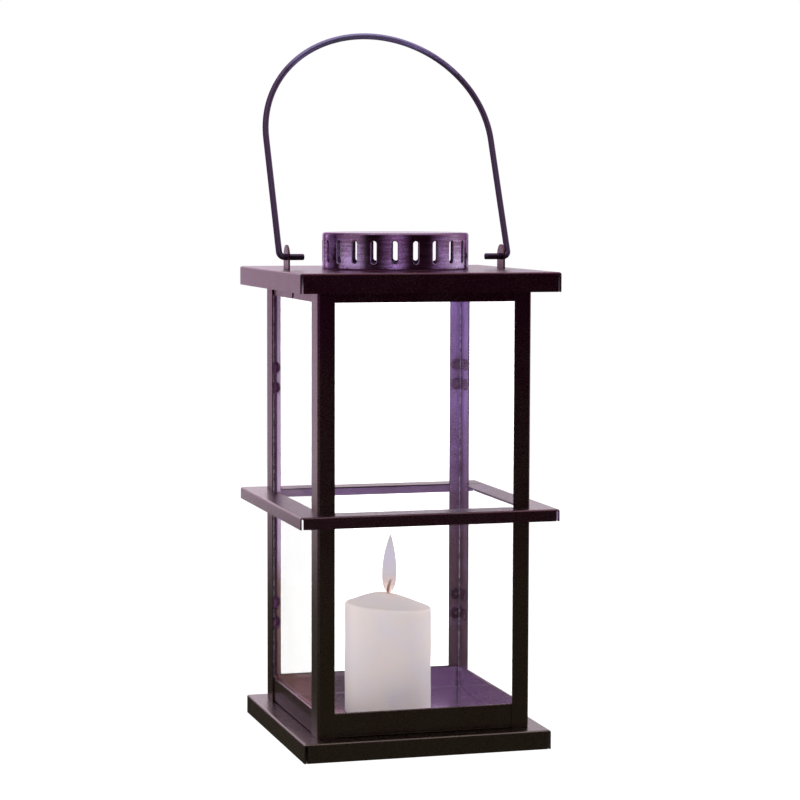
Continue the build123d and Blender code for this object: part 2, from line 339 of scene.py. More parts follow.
# The back left post: its darker inner colours are painted shade, and a pale stripe along their free
# edges is a painted highlight.
shade_and_lip_highlight_lacquer = baked_lacquer(
    "baked_plum_lacquer_bare_lip", ("#562639", "#68604f"), ("#644068", "#46303c"),
    flake=(1.0, 0.12), rim_tint="#dcd2dc", tone_and_shade_by_height=((250, -0.6), (95, 0.5)),
    painted_lip_highlight=("#dcbce4", "#a07878"))
# Ring: the pale purple inner colours are painted light.
ring_lacquer = baked_lacquer(
    "baked_plum_lacquer_ring", ("#663648", "#6a5858"), ("#c09cdc", "#9878a4"),
    flake=(1.0, 0.12), rim_tint="#ffffff")
# The pan: its pale inner colours are painted light, lighter up the walls and darker on the floor,
# and the warm tints on its left are a painted warm reflection.
pan_lacquer = baked_lacquer(
    "baked_plum_lacquer_glossy_pan", ("#562639", "#6b6456"), ("#ecd0f8", "#caa6d2"),
    (0.30, 0.17), 0.10 * MM, flake=(1.0, 0.8), rim_tint="#c8bcc8",
    tone_and_shade_by_height=((34, -0.3), (21, 0.3)), coat=(0.5, 0.06),
    painted_warm_reflection=[(-50, "#dca6a4"), (-34, "#d8a4a8"), (-26, "#a08c96"), (-4, "#a08c9c"),
              (10, "#ccaad4")])
# The cap: its wall is painted darker just under the crown and lighter below, painted shade.
cap_lacquer = baked_lacquer(
    "baked_plum_lacquer_drawn_cap", ("#c4b4d6", "#7c6078"), ("#3c2a44", "#2c2036"),
    (0.14, 0.14), 0.04 * MM, tone_and_shade_by_height=((289, 0.45), (271, -0.35)), streaks=0.4,
    rim_tint="#a688a8")
# The wire: painted lighter along the top of the arch and darker lower down, painted highlight and
# shade.
wire_lacquer = baked_lacquer(
    "baked_plum_lacquer_wire", ("#847ca4", "#423248"), ("#847ca4", "#423248"), (0.16, 0.16),
    0.02 * MM, flake=(0.85, 0.85), rim_tint="#a494a8", tone_and_shade_by_height=((404, -0.6), (368, 0.7)))
# The punched lips' pale colours are a painted highlight.
punched_lip_painted_highlight = baked_lacquer(
    "thin_lacquer_on_punched_edge", ("#b8a4c0", "#9a86a4"), ("#b8a4c0", "#9a86a4"),
    (0.28, 0.28), 0.02 * MM)
print("finishes:", sheet_lacquer.name, cap_lacquer.name, wire_lacquer.name, punched_lip_painted_highlight.name)

# %% [markdown]
# ## The folded sheet pieces
# Tray, pan, posts, ring, roof, band and ears have the right shape in CAD, folds included, but their
# cut edges are perfectly sharp there, and a sharp edge catches no light.  Shearing and lacquer
# leave the edges of real sheet rounded by about a tenth of a millimetre, and the hem of the pan by
# more.  A copy of each piece is joined up from its loose triangles, its flat faces are made whole,
# and a Bevel modifier rounds what is sharp.  A Weighted Normal modifier then keeps the big flat
# faces flat in their shading.
# The spring band under the roof is split on the left.  A thin lap, fixed behind one of its ends,
# keeps light from shining through the split, and it is a small curved sheet with a Solidify.

# %% Dress the sheet pieces
SHEET_ROUND, PAN_ROUND, GLASS_ROUND = 0.13 * MM, 0.3 * MM, 0.25 * MM
NARROWEST_SIDE = 1.5 * MM  # narrower faces are edges and never count as inner sides
CUT_EDGE = 2.5 * MM        # faces narrower than this are the cut edges of a pane
FLAT, SHARP = radians(0.3), radians(35)  # angles below which faces are one, above which they bevel
INWARDS = -1e-4            # centre times normal in plan, in metres, of faces towards the middle


def dressed_copy(node, name, material, edge_round, edge_finish=None):
    """A copy of a CAD node with whole faces, rounded edges and a number for its inner sides.

    edge_finish goes on its narrow faces, the cut edges."""
    work = bmesh.new()
    work.from_mesh(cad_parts[node].data)
    bmesh.ops.remove_doubles(work, verts=work.verts, dist=WELD)
    bmesh.ops.dissolve_limit(work, angle_limit=FLAT, verts=work.verts, edges=work.edges,
                             use_dissolve_boundaries=False)
    mesh = bpy.data.meshes.new(name)
    work.to_mesh(mesh)
    breadth = np.array([face.calc_area() / max(edge.calc_length() for edge in face.edges)
                        for face in work.faces])
    work.free()
    centre, normal = np.empty((2, 3 * len(breadth)))
    mesh.polygons.foreach_get("center", centre)
    mesh.polygons.foreach_get("normal", normal)
    centre, normal = centre.reshape(-1, 3), normal.reshape(-1, 3)
    towards_middle = (centre[:, :2] * normal[:, :2]).sum(1) < INWARDS
    if node == "candle_pan":
        towards_middle |= normal[:, 2] > 0.9  # the floor, which faces up
    towards_middle &= (breadth > NARROWEST_SIDE) & (not node.endswith("ear"))
    tag(mesh, "inner_side", "FACE", towards_middle.astype(float))
    mesh.polygons.foreach_set("use_smooth", np.ones(len(breadth), bool))
    mesh.materials.append(material)
    if edge_finish:
        mesh.materials.append(edge_finish)
        mesh.polygons.foreach_set("material_index", (breadth < CUT_EDGE).astype(int))
    piece = bpy.data.objects.new(name, mesh)
    bpy.context.scene.collection.objects.link(piece)
    bevel = piece.modifiers.new("rounded_edges", "BEVEL")
    bevel.width, bevel.segments = edge_round, 2
    bevel.limit_method, bevel.angle_limit = "ANGLE", SHARP
    weighted = piece.modifiers.new("flat_faces_stay_flat", "WEIGHTED_NORMAL")
    weighted.weight, weighted.keep_sharp = 100, False
    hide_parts(node)
    return piece


CAGE_SHEET = {"base_tray": sheet_lacquer, "candle_pan": pan_lacquer,
              "front_left_post": post_lacquer, "front_right_post": post_lacquer,
              "back_left_post": shade_and_lip_highlight_lacquer, "back_right_post": post_lacquer,
              "middle_ring": ring_lacquer}
LID_SHEET = dict.fromkeys(["roof", "split_band", "left_ear", "right_ear"], sheet_lacquer)
for body, finishes in (("cage", CAGE_SHEET), ("lid", LID_SHEET)):
    for node, finish in finishes.items():
        edge_round = PAN_ROUND if node == "candle_pan" else SHEET_ROUND
        piece = dressed_copy(node, node + "_lacquered", finish, edge_round)
        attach(piece, body)
print("dressed", len(CAGE_SHEET | LID_SHEET), "sheet pieces")

# %% The lap behind the split in the band
BEHIND_BAND, LAP_BOW, LAP_SHEET = 0.98 * MM, 0.04 * MM, 0.25 * MM
LAP_FROM, LAP_TO = -7 * MM, 5 * MM  # along the left side, past the split both ways
OVER_FOOT, UNDER_TOP = 0.3 * MM, 11 * MM  # how far its edges lie inside the band's
band_low, band_high = (np.array(v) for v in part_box("split_band"))
y, z = np.meshgrid(np.linspace(LAP_FROM, LAP_TO, 13),
                   np.linspace(band_low[2] + OVER_FOOT, band_high[2] - UNDER_TOP, 6))
x = band_low[0] + BEHIND_BAND + LAP_BOW * np.cos(y / MM)
lap = mesh_piece("band_lap", np.stack([x, y, z], -1), grid_faces(*y.shape), sheet_lacquer)
solid = lap.modifiers.new("sheet", "SOLIDIFY")
solid.thickness, solid.offset = LAP_SHEET, 0
join_up(lap)
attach(lap, "lid")
print("lap: %.1f mm long, behind a split of 4 mm" % ((LAP_TO - LAP_FROM) / MM))

# %% [markdown]
# ## The panes
# Float glass, 2 mm thick and so pure that it has no tint.  Clear glass is almost nothing but its
# reflections.  It is a Principled shader at full transmission with the index of soda-lime glass,
# 1.52.  Rays from lamps and soft bounced light pass straight through, so the candle inside is lit
# as it would be through so thin a pane.  The cut edges are ground: matt, chipped every 2.5 mm or
# so, and paler on the chips.

# %% Clear float glass
GLASS_INDEX, SMEAR, CHIP = 1.52, 30 * MM, 2.5 * MM
float_glass, tree, place = new_finish("clear_float_glass")
smears = noise(tree, place, SMEAR, Detail=4.0, Distortion=0.6)
gloss = remap(tree, smears, 0.55, 0.8, (0.0, 0.02))
glass = add(tree, "ShaderNodeBsdfPrincipled",
            {"Base Color": paint("#ffffff"), "Roughness": gloss, "IOR": GLASS_INDEX,
             "Transmission Weight": 1.0})
passing = add(tree, "ShaderNodeLightPath").outputs
soft_rays = calculate(tree, "MAXIMUM", passing["Is Shadow Ray"], passing["Is Diffuse Ray"])
clear = add(tree, "ShaderNodeBsdfTransparent", {"Color": paint("#fcfcfc")})
show(tree, mix_shaders(tree, soft_rays, glass, clear))

ground_edge, tree, place = new_finish("ground_glass_edge")
chips = noise(tree, place, CHIP, Detail=3.0)
frost = ramp(tree, chips, [(0.42, paint("#6a5a78")), (0.5, paint("#a492bc")),
                           (0.62, paint("#d2c4de"))])
show(tree, add(tree, "ShaderNodeBsdfPrincipled",
               {"Base Color": frost, "Roughness": 0.55, "IOR": GLASS_INDEX}))

for side in ("front", "back", "left", "right"):
    pane = dressed_copy(side + "_glass", side + "_pane", float_glass, GLASS_ROUND, ground_edge)
    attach(pane, "cage")
print("glazed 4 openings")

# %% [markdown]
# ## The bedding pads
# Each pane is bedded on the post legs by small round pads of dark putty, pressed flat by the glass.
# Pressing makes a pad bulge like a barrel.  The profile is revolved: the radius is the pad's own
# plus a little that falls to nothing at both faces, as 1 - t squared does for t from -1 to 1.  Two
# numbers on each point steer the finish: the distance from the pad's middle, paler in the middle
# and at the rim, and a share of pale lavender on the upper pads on the right, a painted reflection
# of the glass in front of them.

# %% Squeezed putty pads
PAD_SIDES, PAD_CLEAR, PAD_BULGE, LUMP = 20, 0.04 * MM, 0.10, 0.9 * MM
# The profile: shares of the radius, and places from one face, -1, to the other, 1.
PAD_ACROSS = np.array([0.0, 0.45, 0.8, 1, 1, 1, 1, 1, 0.8, 0.45, 0.0])
PAD_ALONG = np.array([-1, -1, -1, -0.92, -0.5, 0, 0.5, 0.92, 1, 1, 1.0])
UPPER_PADS, UPPER_RIGHT_REFLECTION = 150 * MM, 0.4  # higher than this, and the share of painted reflection that those on the right get
putty, tree, place = new_finish("dark_bedding_putty")
reach = attribute(tree, "from_middle")
tone = ramp(tree, reach, [(0.0, paint("#7a5674")), (0.2, paint("#5c3450")), (0.4, paint("#38182c")),
                          (0.8, paint("#361a30")), (1.0, paint("#4c2c4c"))])
# Painted reflection: the upper pads on the right are mixed towards pale lavender.
tone = blend(tree, attribute(tree, "painted_glass_reflection"), tone, paint("#8a6a92"))
lumps = bump(tree, noise(tree, place, LUMP), 0.4, 0.08 * MM)
show(tree, add(tree, "ShaderNodeBsdfPrincipled",
               {"Base Color": tone, "Roughness": 0.9, "Specular IOR Level": 0.2,
                "Normal": lumps}))


def pad_places():
    """The lowest and the highest corner of each pad, from the loose parts of the CAD node."""
    work = bmesh.new()
    work.from_mesh(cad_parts["glass_pads"].data)
    bmesh.ops.remove_doubles(work, verts=work.verts, dist=WELD)
    places, seen = [], set()
    for start in work.verts:
        if start.index in seen:
            continue
        group, todo = [], [start]
        seen.add(start.index)
        while todo:
            vertex = todo.pop()
            group.append(vertex.co[:])
            for edge in vertex.link_edges:
                other = edge.other_vert(vertex)
                if other.index not in seen:
                    seen.add(other.index)
                    todo.append(other)
        places.append((np.min(group, 0), np.max(group, 0)))
    work.free()
    return places


def squeezed_pad(low, high):
    """Points and faces of a barrel along a pad's thin axis, r = r0 (1 + bulge (1 - t^2)), that
    ends a little short of both faces, and the share of painted reflection that it gets."""
    size, middle = high - low, (high + low) / 2
    axis = int(np.argmin(size))
    half, radius = size[axis] / 2 - PAD_CLEAR, np.delete(size, axis).mean() / 2
    swell = np.where(PAD_ACROSS == 1, 1 + PAD_BULGE * (1 - PAD_ALONG ** 2), 1)
    points = around((PAD_ACROSS * swell * radius)[:, None], full_turn(PAD_SIDES),
                    (PAD_ALONG * half)[:, None])
    points = np.roll(points, axis + 1, axis=-1).reshape(-1, 3) + middle
    # Only the upper pads on the right get the painted reflection.
    reflection_share = UPPER_RIGHT_REFLECTION * (middle[0] > 0 and middle[2] > UPPER_PADS)
    return (points, grid_faces(len(PAD_ALONG), PAD_SIDES, closed=True)), reflection_share


pad_parts, reflection_share = zip(*[squeezed_pad(low, high) for low, high in pad_places()])
pads = mesh_piece("bedding_pads", *gather(pad_parts), putty)
tag(pads.data, "from_middle", "POINT", np.tile(np.repeat(PAD_ACROSS, PAD_SIDES), len(pad_parts)))
tag(pads.data, "painted_glass_reflection", "POINT", np.repeat(reflection_share, len(PAD_ACROSS) * PAD_SIDES))
join_up(pads)
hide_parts("glass_pads")
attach(pads, "cage")
print("pads:", len(pad_parts), "with", len(pads.data.polygons), "faces")

# %% [markdown]
# ## The vent cap
# The cap is a drawn cup, mouth down, with upright slots punched through its wall.  A punched wall
# is hard to cut cleanly out of a mesh, so it is woven instead.  The wall is unrolled flat and
# divided into one field per slot.  In each field, lines run from the slot's rim out to the field's
# border, which gives a ring of quads round every slot, and the flat wall is then rolled up: the
# distance along it, divided by the radius, is the angle.  The crown is a plain profile turned round
# the axis, on the same columns as the fields' upper borders, so that the two join point for point.
# The punch leaves a lip: its edge is drawn as a narrow slope, and its paler finish is a painted
# highlight on it.

# %% Sizes of the cap, from the frame
cap_low, cap_high = (np.array(v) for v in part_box("vent_cap"))
CAP_R = (cap_high[0] - cap_low[0]) / 2
CAP_Z, CAP_H = cap_low[2], cap_high[2] - cap_low[2]
SHEET, CAP_EDGE, LIP = 0.8 * MM, 1.5 * MM, 0.22 * MM
SLOTS, SLOT_HALF_W, SLOT_LENGTH, SLOT_RISE = 22, 1.55 * MM, 12.8 * MM, 3.8 * MM
WALL_H = CAP_H - CAP_EDGE
print("cap: radius %.1f mm, height %.1f mm, %d slots" % (CAP_R / MM, CAP_H / MM, SLOTS))

# %% Weave the slotted wall
ACROSS, UP = 8, 16  # quads along the lower and the upright border of a field
LOOP = 2 * (ACROSS + UP)
SHARES = [0, 0.07, 0.2, 0.42, 0.7, 1.0]  # of the way from a slot's rim to the border


def slot_rim(offset):
    """Points round a slot, grown by offset: straight sides, round ends, in step with the border.

    The border's corners answer to the points at 45 degrees on the slot's round ends."""
    radius = SLOT_HALF_W + offset
    half = SLOT_LENGTH / 2 - SLOT_HALF_W
    bend = UP // 4

    def arc(a, b, n, end):
        angle = np.linspace(radians(a), radians(b), n, endpoint=False)
        return np.stack([radius * np.cos(angle), end * half + radius * np.sin(angle)], -1)

    straight = np.linspace(-half, half, UP - 2 * bend, endpoint=False)
    right = np.stack([np.full_like(straight, radius), straight], -1)
    rim = np.concatenate([arc(225, 315, ACROSS, -1), arc(315, 360, bend, -1), right,
                          arc(0, 45, bend, 1), arc(45, 135, ACROSS, 1), arc(135, 180, bend, 1),
                          -right, arc(180, 225, bend, -1)])
    return rim + [0, SLOT_RISE + SLOT_LENGTH / 2]


def field_border():
    """Points round a field's rectangle, from its lower left corner, as many as the rim's."""
    half_width = pi * CAP_R / SLOTS
    x = np.linspace(-half_width, half_width, ACROSS, endpoint=False)
    z = np.linspace(0, WALL_H, UP, endpoint=False)
    return np.concatenate([np.stack([x, 0 * x], -1), np.stack([0 * z + half_width, z], -1),
                           np.stack([-x, 0 * x + WALL_H], -1),
                           np.stack([0 * z - half_width, WALL_H - z], -1)])


def field(offset):
    """Loops of one field, from the slot's rim, grown by offset, out to the border."""
    return [(1 - share) * slot_rim(offset) + share * field_border() for share in SHARES]


def rolled(flat, radius, turn):
    """Roll flat (across, up) points on the cap's outer radius to another radius."""
    return around(radius, flat[:, 0] / CAP_R + turn - pi / 2, CAP_Z + flat[:, 1])


cap_parts = []
for turn in 2 * pi * np.arange(SLOTS) / SLOTS:
    loops = [rolled(loop, CAP_R - SHEET, turn) for loop in field(0)[::-1]]
    loops += [rolled(slot_rim(0), CAP_R - LIP, turn)]
    loops += [rolled(loop, CAP_R, turn) for loop in field(LIP)]
    cap_parts.append((np.concatenate(loops), grid_faces(len(loops), LOOP, closed=True)))
# Each field's faces go from the inner border to the slot, through it, and out to the outer border.
inner_rows = (len(SHARES) - 1) * LOOP
punched = np.zeros(len(cap_parts[0][1]), int)
punched[inner_rows:inner_rows + 2 * LOOP] = 1
cap_finish = [punched] * SLOTS
print("wall woven:", SLOTS * len(punched), "quads")

# %% Turn the crown, close the lower edge and join everything
columns = SLOTS * ACROSS
angles = (np.arange(columns) - ACROSS / 2) * 2 * pi / columns - pi / 2
quarter = np.linspace(0, pi / 2, 9)


def turned(radii, heights):
    """Points and faces of a profile, in heights above the cap's foot, turned round the axis."""
    radii, heights = np.asarray(radii), np.asarray(heights)
    return (around(radii[:, None], angles, (CAP_Z + heights)[:, None]).reshape(-1, 3),
            grid_faces(len(radii), columns, closed=True))


def crown(radius, edge):
    """The wall's top turning in over a quarter circle of radius edge, then flat to the axis."""
    across = (radius - edge) * np.array([0.93, 0.8, 0.6, 0.4, 0.2, 0.0])
    return turned(np.r_[radius - edge + edge * np.cos(quarter), across],
                  np.r_[WALL_H + edge * np.sin(quarter), np.full(len(across), WALL_H + edge)])


for part in (crown(CAP_R, CAP_EDGE), crown(CAP_R - SHEET, CAP_EDGE - SHEET),
             turned([CAP_R - SHEET, CAP_R], [0, 0])):
    cap_parts.append(part)
    cap_finish.append(np.zeros(len(part[1]), int))
cap = mesh_piece("drawn_vent_cap", *gather(cap_parts), cap_lacquer)
cap.data.materials.append(punched_lip_painted_highlight)
cap.data.polygons.foreach_set("material_index", np.concatenate(cap_finish))
join_up(cap)
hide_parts("vent_cap")
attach(cap, "lid")
print("cap:", len(cap.data.polygons), "faces")

# %% [markdown]
# ## The bail
# The handle is one piece of 3.6 mm wire: an end through each ear, a tight bend, a straight leg and
# a half-round arch.  A wire is a round section carried along a path, so the path comes first, as
# points in the bail's own plane, and a ring of points is set across it at every step.  In a flat
# path the two directions across it are the plane's normal and the tangent turned by 90 degrees.
# The bail rests leaning back, so its plane is turned about the line through the ears.  Its colour
# is painted lighter and greyer along the top of the arch, a painted highlight.

# %% The wire's path and its skin
PIVOT_Z, LEAN = 275.6 * MM, radians(26.0)
LEG_X, LEG_TOP, WIRE_R, WIRE_SIDES = 68.2 * MM, 75.5 * MM, 1.8 * MM, 24
TAIL_X, TAIL_EDGE, BEND_X = 54.0 * MM, 0.4 * MM, 65.0 * MM
BEND = LEG_X - BEND_X

corner = np.linspace(0, pi / 2, 13)[1:]
sweep = np.linspace(0, pi, 97)[1:-1]
tail = np.r_[TAIL_X, TAIL_X + TAIL_EDGE, np.linspace(TAIL_X + 2 * MM, BEND_X, 6)]
leg = np.linspace(BEND, LEG_TOP, 13)[1:]
right_half = np.concatenate([
    np.stack([tail, 0 * tail], -1),
    np.stack([BEND_X + BEND * np.sin(corner), BEND - BEND * np.cos(corner)], -1),
    np.stack([np.full_like(leg, LEG_X), leg], -1)])
arch = np.stack([LEG_X * np.cos(sweep), LEG_TOP + LEG_X * np.sin(sweep)], -1)
path = np.concatenate([right_half, arch, right_half[::-1] * [-1, 1]])
thickness = np.full(len(path), WIRE_R)
thickness[[0, -1]] -= TAIL_EDGE


def wire_skin(path, thickness):
    """Rings across a flat path: centre + r (cos a * sideways + sin a * plane normal)."""
    along = np.gradient(path, axis=0)
    along /= np.linalg.norm(along, axis=1, keepdims=True)
    sideways = np.stack([-along[:, 1], along[:, 0]], -1)
    a = full_turn(WIRE_SIDES)
    flat = path[:, None] + (thickness[:, None] * np.cos(a))[..., None] * sideways[:, None]
    return np.concatenate([flat, (thickness[:, None] * np.sin(a))[..., None]], -1)


rings = closed_ends(wire_skin(path, thickness), np.append(path[0], 0), np.append(path[-1], 0))
wire = np.stack([rings[..., 0], rings[..., 1] * sin(LEAN) - rings[..., 2] * cos(LEAN),
                 PIVOT_Z + rings[..., 1] * cos(LEAN) + rings[..., 2] * sin(LEAN)], -1)
bail = mesh_piece("bail_wire_handle", wire, grid_faces(len(rings), WIRE_SIDES, closed=True),
                  wire_lacquer)
join_up(bail)
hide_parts("bail_handle")
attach(bail, "bail")
print("bail: top at %.1f mm" % (wire[..., 2].max() / MM))

# %% [markdown]
# ## The candle
# A pillar candle is pressed or cast paraffin.  Once it has burnt for a while its top is a low cone
# with soft shoulders, highest a little to the left, and a shallow pool lies round the wick.  The
# surface is a profile turned round the axis, where the top's height falls with the distance from
# the peak to the power 1.35.  Wax lets light in and scatters it back from a few millimetres down,
# red farther than blue, which is what subsurface scattering does.

# %% Paraffin
CLOUD, DRAW_LINE, DRAW_SQUASH = 22 * MM, 9 * MM, 9
paraffin, tree, place = new_finish("cast_paraffin_wax")
cloud = noise(tree, place, CLOUD, Detail=3.0)
squashed = add(tree, "ShaderNodeMapping",
               {"Vector": place, "Scale": (1, 1, DRAW_SQUASH)}).outputs[0]
draw_lines = noise(tree, squashed, DRAW_LINE, Detail=3.0)
tone = remap(tree, cloud, 0.35, 0.65)
wax_colour = blend(tree, tone, paint("#d9d3d6"), paint("#dfd5d2"))
wax_bump = bump(tree, draw_lines, 0.5, 0.10 * MM)
wax_gloss = remap(tree, draw_lines, to=(0.38, 0.52))
show(tree, add(tree, "ShaderNodeBsdfPrincipled",
               {"Base Color": wax_colour, "Roughness": wax_gloss, "IOR": 1.44,
                "Normal": wax_bump, "Subsurface Weight": 0.6,
                "Subsurface Radius": (1.0, 0.62, 0.42), "Subsurface Scale": 7 * MM}))

# %% Turn the candle
candle_low, candle_high = (np.array(v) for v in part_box("candle"))
CANDLE_X = (candle_low[0] + candle_high[0]) / 2
CANDLE_R = (candle_high[0] - candle_low[0]) / 2
CANDLE_Z, CANDLE_TOP = candle_low[2], candle_high[2]
WICK_HOLE = 0.85 * MM
PEAK_LEFT, CONE_FALL = 4 * MM, 8.3 * MM  # how far left the cone's peak is, and how far it falls
POOL_DEPTH, POOL_R = 0.9 * MM, 3.6 * MM
SHOULDER_R, SHOULDER_DROP = 2.2 * MM, 1.7 * MM  # how far in and how far down the shoulder rounds
FOOT_R, SAG = 1 * MM, 0.12 * MM


def candle_top(r, angle):
    """Height of the burnt top: its peak less fall * (d / R)^1.35, less a pool round the wick.

    d is the distance from the cone's peak, p to the left: d^2 = r^2 + 2 p r cos a + p^2."""
    away = np.sqrt(r ** 2 + 2 * PEAK_LEFT * r * np.cos(angle) + PEAK_LEFT ** 2)
    pool = POOL_DEPTH * np.exp(-(r / POOL_R) ** 2)
    return CANDLE_TOP - CONE_FALL * (away / CANDLE_R) ** 1.35 - pool


a = full_turn(96)
flat_r = CANDLE_R - SHOULDER_R
rim = candle_top(flat_r, a)
rows = [around(r, a, candle_top(r, a))
        for r in np.r_[WICK_HOLE, np.linspace(1.6 * MM, flat_r, 22)]]
rows += [around(flat_r + SHOULDER_R * np.sin(s), a, rim - SHOULDER_DROP * (1 - np.cos(s)))
         for s in np.linspace(0, pi / 2, 8)[1:]]
for share in np.linspace(0, 1, 26)[1:-1]:
    level = (1 - share) * (rim - SHOULDER_DROP) + share * (CANDLE_Z + FOOT_R)
    sag = SAG * np.sin(3 * a + 9 * share) * np.sin(pi * share)
    rows.append(around(CANDLE_R + sag, a, level))
rows += [around(CANDLE_R - FOOT_R + FOOT_R * np.cos(f), a, CANDLE_Z + FOOT_R - FOOT_R * np.sin(f))
         for f in np.linspace(0, pi / 2, 5)]
rows += [around(WICK_HOLE, a, CANDLE_Z), rows[0]]
candle = mesh_piece("pillar_candle_wax", np.concatenate(rows) + [CANDLE_X, 0, 0],
                    grid_faces(len(rows), len(a), closed=True), paraffin)
join_up(candle)
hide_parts("candle")
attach(candle, "pillar_candle")
print("candle: %.1f mm across, %d faces" % (2 * CANDLE_R / MM, len(candle.data.polygons)))

# %% [markdown]
# ## The wick
# A candle wick is braided cotton, charred where it stands in the flame.  Its section is round with
# three low ribs, and the ribs turn as they climb: r = r0 (1 + 0.1 cos 3(a - turn)), with one turn
# every 2.5 mm.  Its free end leans to the right, the more the higher.  The colour runs with height,
# waxed cotton below, then brown and black, with a reddish tip.

# %% Braided and charred wick
WICK_TOP, WICK_R, WICK_SIDES = CANDLE_TOP + 7.0 * MM, 0.8 * MM, 18
RIB, RIB_TURN, FIBRE = 0.1, 2.5 * MM, 0.25 * MM
charred, tree, place = new_finish("charred_cotton_wick")
burnt = remap(tree, axes(tree, place)["Z"], CANDLE_TOP - 1 * MM, WICK_TOP)
char = ramp(tree, burnt, [(0.0, paint("#cdb9a4")), (0.2, paint("#7d5140")),
                          (0.55, paint("#4b2a22")), (0.85, paint("#1c1214")),
                          (1.0, paint("#7a3418"))])
fuzz = bump(tree, noise(tree, place, FIBRE), 0.6, 0.06 * MM)
show(tree, add(tree, "ShaderNodeBsdfPrincipled",
               {"Base Color": char, "Roughness": 0.9, "Normal": fuzz}))

s = np.linspace(0, 1, 90)
level = CANDLE_Z + s * (WICK_TOP - 0.3 * MM - CANDLE_Z)
free = np.clip(level - CANDLE_TOP, 0, None)
middle = np.stack([CANDLE_X + 0.02 / MM * free ** 2 + 0.12 * free, 0 * s, level], -1)
b = full_turn(WICK_SIDES)
twist = 2 * pi * level / RIB_TURN
radius = WICK_R * (1 + RIB * np.cos(3 * (b - twist[:, None])))
radius[s > 0.995] *= 0.5
rings = closed_ends(middle[:, None] + around(radius, b, 0), middle[0], middle[-1])
wick = mesh_piece("braided_wick", rings, grid_faces(len(rings), WICK_SIDES, closed=True), charred)
join_up(wick)
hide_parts("candle_wick")
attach(wick, "pillar_candle")
print("wick: %d faces" % len(wick.data.polygons))

# %% [markdown]
# ## The flame
# A flame isn't a solid, so CAD has none, but the candle is lit.  It is glowing gas: nearly clear
# and rosy round the wick, then pale and faintly blue in front of so bright a room.  It stands as a
# slim drop, a profile turned round the axis that drifts a little to the right as it climbs.  Its
# finish emits light and takes none, and it is mixed with a clear shader, most of all near the wick.

# %% A drop of light
FLAME_TALL, FLAME_SIDES = 34.8 * MM, 40
FLAME_RIGHT, FLAME_DRIFT = 0.6 * MM, 0.8 * MM
glow, tree, place = new_finish("candle_flame_glow")
rise = remap(tree, axes(tree, place)["Z"], CANDLE_TOP - 0.5 * MM, CANDLE_TOP + 34 * MM)
colour = ramp(tree, rise, [(0.0, paint("#ac7468")), (0.14, paint("#c4a29c")),
                           (0.34, paint("#cfc6cf")), (0.6, paint("#cec6d8")),
                           (0.85, paint("#ccc5cf")), (1.0, paint("#c6bdc2"))])
body = remap(tree, rise, 0.0, 0.35, (0.35, 0.95))
gas = add(tree, "ShaderNodeEmission", {"Color": colour, "Strength": 1.0})
air = add(tree, "ShaderNodeBsdfTransparent")
show(tree, mix_shaders(tree, body, air, gas))

# The drop's outline: share of its height, and radius in mm.
drop = np.array([[0, 0.0], [0.02, 1.3], [0.06, 2.5], [0.12, 3.4], [0.2, 3.95], [0.3, 4.15],
                 [0.42, 4.15], [0.55, 3.8], [0.68, 3.1], [0.8, 2.2], [0.9, 1.3], [0.96, 0.65],
                 [1, 0.0]])
u = (1 - np.cos(np.linspace(0, pi, 40))) / 2
drop_r = np.interp(u, drop[:, 0], drop[:, 1]) * MM
drop_r = np.r_[0, np.convolve(drop_r, [0.25, 0.5, 0.25], "same")[1:-1], 0]
drop_z = CANDLE_TOP - 1.5 * MM + u * FLAME_TALL
drop_points = around(drop_r[:, None], full_turn(FLAME_SIDES), drop_z[:, None])
drop_points[..., 0] += (CANDLE_X + FLAME_RIGHT + FLAME_DRIFT * u ** 2)[:, None]
flame = mesh_piece("candle_flame", drop_points, grid_faces(len(u), FLAME_SIDES, closed=True), glow)
join_up(flame)
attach(flame, "pillar_candle")
print("flame: %.1f mm tall" % (FLAME_TALL / MM))

# %% [markdown]
# ## Table, studio and lamps
# The lantern stands on a pale plain table in a white studio.  The table is a wide disc that shows
# white to the camera, and that bounces light as a matt white board does.  Under the tray it is
# matt, so it stays dark there.  A mirrored ray finds it dark near the lantern and clear farther
# out, where the room behind it is seen instead.
# Lacquer and glass are made by what they mirror, so the room matters more than the lamps: bright
# fabric behind and beside the lantern, and dark gaps between the soft panels in front of it.  The
# world shader draws that room as bands round the horizon, for mirrored rays only.  The bands stand
# still: they are counted once from the heading of the studio camera.  All other rays see plain
# white or get plain soft light.
# A ray that has come through a pane counts as glossy, so the shaders don't ask whether a ray is
# glossy but how many glossy or diffuse bounces it has had, the depth, which glass doesn't raise.
# For rays seen straight through the glass, room and table are set well above white, so that they
# stay nearly white in spite of what the panes take away.  Neither is sampled as a lamp: a lamp
# sample carries no depth at all.

# %% The table
TABLE_R, TABLE_Z, TABLE_SIDES = 1.4, -0.05 * MM, 64
TABLE_THROUGH_GLASS, TABLE_TO_CAMERA = 2.2, 1.1  # brightness, with 1 as white
GLOW_SHARE = 0.84  # how much of the open board shows white by itself; the rest is lit
TRAY_EDGE = (70.5 * MM, 71.5 * MM)  # the board is matt up to the first and glows from the second
DARK_R, DARK = 0.5, "#484438"  # how far out, and how dark, the table is in a mirror
board, tree, place = new_finish("white_table_board")
matt = add(tree, "ShaderNodeBsdfDiffuse", {"Color": paint("#f2f0f2")})
ray = add(tree, "ShaderNodeLightPath").outputs
brightness = remap(tree, ray["Is Camera Ray"], to=(TABLE_THROUGH_GLASS, TABLE_TO_CAMERA))
white = add(tree, "ShaderNodeEmission", {"Color": (1, 1, 1, 1), "Strength": brightness})
spot = add(tree, "ShaderNodeVectorMath", {0: place}, operation="ABSOLUTE").outputs[0]
spot = axes(tree, spot)
reach = calculate(tree, "MAXIMUM", spot["X"], spot["Y"])
